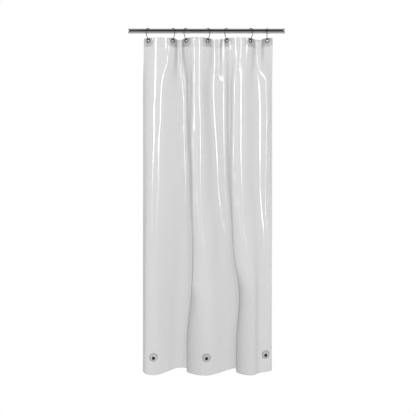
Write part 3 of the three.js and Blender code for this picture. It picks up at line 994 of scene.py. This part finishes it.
# %% Turn a magnet, all in mm
MAGNET_LOW = 5.0  # a magnet has sunk this far below its pocket's middle
MAGNET_RADIUS = 9.0
MAGNET_THICK = 2.4
MAGNET_OFF = 0.45  # between the film's middle and the magnet's back
BROKEN, BROKEN_MIDDLE = 0.5, 0.15  # its broken edge
magnet_outline = both_ends([
    (POLE, 0), (MAGNET_RADIUS - BROKEN, 0), (MAGNET_RADIUS - BROKEN_MIDDLE, BROKEN_MIDDLE),
    (MAGNET_RADIUS, BROKEN)], MAGNET_THICK)


def magnet_piece(n, place):
    """A magnet in front of the film, turned as the film turns there."""
    disc = turn_ring(f"dark_magnet_{n}", magnet_outline, 40)
    down = magnet_down + MAGNET_LOW
    centre = on_film(np.array([place]), np.array([down]), [MAGNET_OFF + MAGNET_THICK])[0]
    sides = np.array([place - MAGNET_RADIUS, place + MAGNET_RADIUS])
    left, right = on_film(sides, np.array([down, down]), [0, 0])
    put(disc, centre, math.atan2(right[1] - left[1], right[0] - left[0]))
    disc.data.materials.append(magnet_coating)
    smooth_faces(disc, 40)
    return disc


# %% Lay a pocket's cover over its magnet, all in mm
POCKET_RADIUS = 24.0
WELD = 21.3  # the radius of the pressed groove
RINGS, SPOKES = 26, 60
COVER_REST, COVER_LEAST = 0.75, 0.5  # how far the cover's middle lies in front of the film's
COVER_LIFT = 2.75  # and how much farther over the magnet
COVER_LOOSE = 0.55  # and inside the weld, where it hangs loose
POCKET_THICK = 0.3 * MM


def pocket_piece(n, place, seed):
    """A pocket's cover, in rings round a fan of triangles."""
    draw = np.random.default_rng(seed)
    radius = np.linspace(0, POCKET_RADIUS, RINGS)[:, None]
    angle = np.linspace(0, 2 * math.pi, SPOKES, endpoint=False)[None, :]
    dx, dz = radius * np.cos(angle), radius * np.sin(angle)
    over = fade(np.hypot(dx, dz - MAGNET_LOW), MAGNET_RADIUS + 0.6, MAGNET_RADIUS + 6.5)
    inside = fade(radius, 15, 20.5)
    folds = sum(draw.uniform(0.3, 1) * np.sin(k * angle + draw.uniform(0, 6.3)) for k in (5, 8, 11))
    loose = 0.35 * inside * (radius / 18) * folds * (1 - over)
    groove = 0.32 * np.exp(-((radius - WELD) / 1.0) ** 2)
    ahead = COVER_REST + over * COVER_LIFT + COVER_LOOSE * inside * (1 - over) + loose - groove
    points = on_film(place + dx, magnet_down + dz, np.maximum(ahead, COVER_LEAST))
    weld = np.exp(-((radius - WELD) / 1.6) ** 2)
    cloudy = np.broadcast_to(np.maximum(weld, 0.45 * (1 - over)), over.shape)

    rings = points[1:].reshape(-1, 3)
    corner = np.arange(len(rings)).reshape(RINGS - 1, SPOKES) + 1
    after = np.roll(corner, -1, axis=1)
    quads = np.stack([corner[:-1], corner[1:], after[1:], after[:-1]], axis=2).reshape(-1, 4)
    fan = [(0, int(a), int(b)) for a, b in zip(corner[0], after[0])]
    values = {"cloud": np.concatenate([cloudy[:1, 0], cloudy[1:].ravel()])}
    points = np.vstack([points[:1, 0], rings])
    return thick_film(
        f"film_pocket_{n}", points, fan + quads.tolist(), values, pocket_film, POCKET_THICK)


magnets, pockets = [], []
for n, place in enumerate(MAGNET_AT, start=1):
    disc = magnet_piece(n, place / MM)
    cover = pocket_piece(n, place / MM, 40 + n)
    for piece, node, slot in ((disc, "magnet", "magnet"), (cover, "magnet_pocket", "pocket_film")):
        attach(piece, "root")
        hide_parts(f"{node}_{n}")
    magnets.append(disc)
    pockets.append(cover)
print("pockets", [p.name for p in pockets])

# %% [markdown]
# ## Studio
# Clear film only shows by what shines in it. Two tall soft strips stand in front, one each side of the
# camera, and each fold shows them as a pair of thin upright streaks. Each strip is in four parts that
# grow weaker below the liner's middle, so the streaks fade there. The room is white to look at, and
# in chrome it has a dark belt round the middle, as a studio with dark walls has.

# %% Floor and world
FLOOR_BELOW = 110 * MM  # the liner hangs clear of the floor
FLOOR_RADIUS = 60  # metres, so that no horizon shows

bpy.ops.object.select_all(action="DESELECT")
bpy.ops.mesh.primitive_circle_add(
    vertices=128, radius=FLOOR_RADIUS, fill_type="NGON", location=(ROD_LENGTH / 2, 0, HEM - FLOOR_BELOW))
floor = bpy.context.object
floor.name = "studio_floor"
floor_paint, tree = new_material("pale studio floor")
finish_with(tree, add(tree, "Emission", {"Color": (1, 1, 1, 1)}).outputs["Emission"])
floor.data.materials.append(floor_paint)
floor.visible_glossy = False

# %% World: white to look at, with a dark belt in mirrors
BELT = [  # place from straight down at 0 to straight up at 1, and grey
    (0.06, 0.6), (0.13, 0.42), (0.3, 0.11), (0.45, 0.04), (0.6, 0.02), (0.91, 0.02), (0.96, 0.3),
    (0.99, 0.55),
]
world = bpy.data.worlds.new("white studio")
world.use_nodes = True
world.node_tree.nodes.clear()
tree = world.node_tree
height = add(tree, "SeparateXYZ", {"Vector": add(tree, "TexCoord").outputs["Generated"]}).outputs["Z"]
belt = add(tree, "ValToRGB", {"Fac": add(tree, "MapRange", {
    "Value": height, "From Min": -1.0, "From Max": 1.0,
}).outputs["Result"]})
stops = belt.color_ramp.elements
stops[0].position, stops[1].position = BELT[0][0], BELT[-1][0]
for position, _ in BELT[1:-1]:
    stops.new(position)
for stop, (_, grey) in zip(stops, BELT):
    stop.color = (grey, grey, grey, 1)
paths = add(tree, "LightPath")
seen = add(tree, "Background", {"Color": (1, 1, 1, 1), "Strength": 1.0})
mirrored = add(tree, "Background", {"Color": belt.outputs["Color"], "Strength": 1.0})
chosen = add(tree, "MixShader", {
    0: paths.outputs["Is Glossy Ray"], 1: seen.outputs[0], 2: mirrored.outputs[0]})
tree.links.new(chosen.outputs[0], add(tree, "OutputWorld").inputs["Surface"])
scene.world = world
print("floor and world ready")

# %% Strip lights
STRIP_AWAY, STRIP_WIDTH = 3.4, 0.55  # metres
STRIP_TURN = 24  # degrees to each side of the camera
STRIP_PARTS = [  # name, foot and head in metres, radiance: the strips fade downwards
    ("head", 0.8, 2.2, 8),
    ("middle", -0.52, 0.8, 14),
    ("foot", -0.7, -0.52, 6),
    ("end", -1.12, -0.7, 2.2),
]


def strip_light(name, azimuth, low, high, radiance):
    """A soft strip that faces the liner's middle line."""
    data = bpy.data.lights.new(name, "AREA")
    data.shape = "RECTANGLE"
    data.size = STRIP_WIDTH
    data.size_y = high - low
    data.energy = radiance * math.pi * STRIP_WIDTH * (high - low)
    strip = bpy.data.objects.new(name, data)
    turn = math.radians(azimuth)
    strip.location = (
        CENTRE_X + STRIP_AWAY * math.sin(turn), -STRIP_AWAY * math.cos(turn), (low + high) / 2)
    strip.rotation_euler = (math.pi / 2, 0, turn)
    scene.collection.objects.link(strip)


for azimuth, label in ((-STRIP_TURN, "left"), (STRIP_TURN, "right")):
    for part, foot, head, radiance in STRIP_PARTS:
        strip_light(f"strip_{label}_{part}", azimuth, foot, head, radiance)

scene.view_settings.view_transform = "Standard"
scene.cycles.transparent_max_bounces = 64
print("studio ready")
